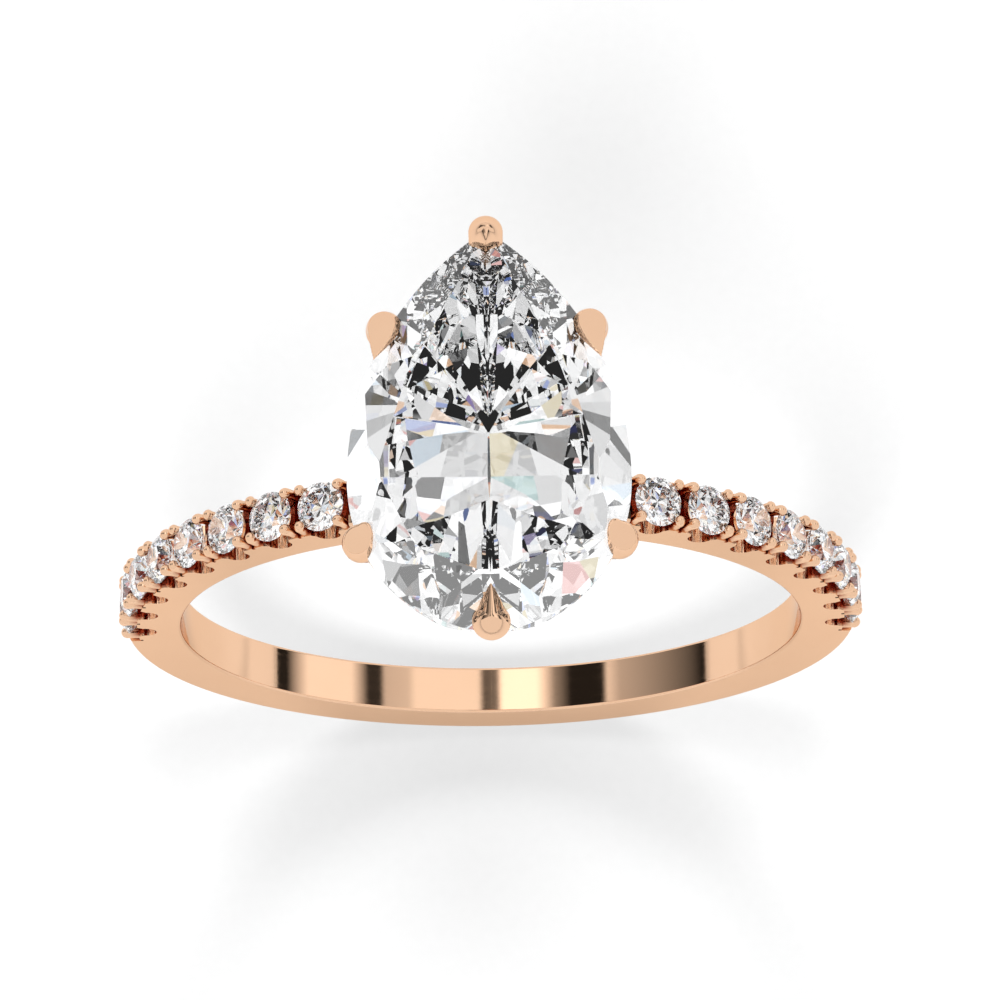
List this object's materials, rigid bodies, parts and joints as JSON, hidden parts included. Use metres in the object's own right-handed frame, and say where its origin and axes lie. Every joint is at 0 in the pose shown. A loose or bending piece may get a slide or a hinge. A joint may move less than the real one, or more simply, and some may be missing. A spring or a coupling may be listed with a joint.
{
  "type": "engagement ring",
  "caption": "Rose-gold engagement ring with a pear-cut centre stone in a claw basket and round accent stones in split-prong settings along the shoulders of a slim band.",
  "frame": {"origin": "centre of the finger hole, midway between the band's two side faces", "axes": "+Y along the finger's axis, towards the pointed end of the centre stone; +Z from the finger hole through the centre stone; +X across the ring"},
  "size_m": [0.0198, 0.011, 0.0254],
  "materials": {
    "rose_gold": "mirror-polished rose gold",
    "diamond": "brilliant-cut, polished and colourless"
  },
  "bodies": {
    "root": {"shank": "rose_gold", "head_saddle": "rose_gold", "lower_gallery_rail": "rose_gold", "upper_gallery_rail": "rose_gold", "claw_point": "rose_gold", "claw_shoulder_left": "rose_gold", "claw_shoulder_right": "rose_gold", "claw_side_left": "rose_gold", "claw_side_right": "rose_gold", "claw_base": "rose_gold", "centre_stone": "diamond", "accent_stone_left_1": "diamond", "accent_stone_left_2": "diamond", "accent_stone_left_3": "diamond", "accent_stone_left_4": "diamond", "accent_stone_left_5": "diamond", "accent_stone_left_6": "diamond", "accent_stone_left_7": "diamond", "accent_stone_left_8": "diamond", "accent_stone_right_1": "diamond", "accent_stone_right_2": "diamond", "accent_stone_right_3": "diamond", "accent_stone_right_4": "diamond", "accent_stone_right_5": "diamond", "accent_stone_right_6": "diamond", "accent_stone_right_7": "diamond", "accent_stone_right_8": "diamond"}
  },
  "joints": []
}
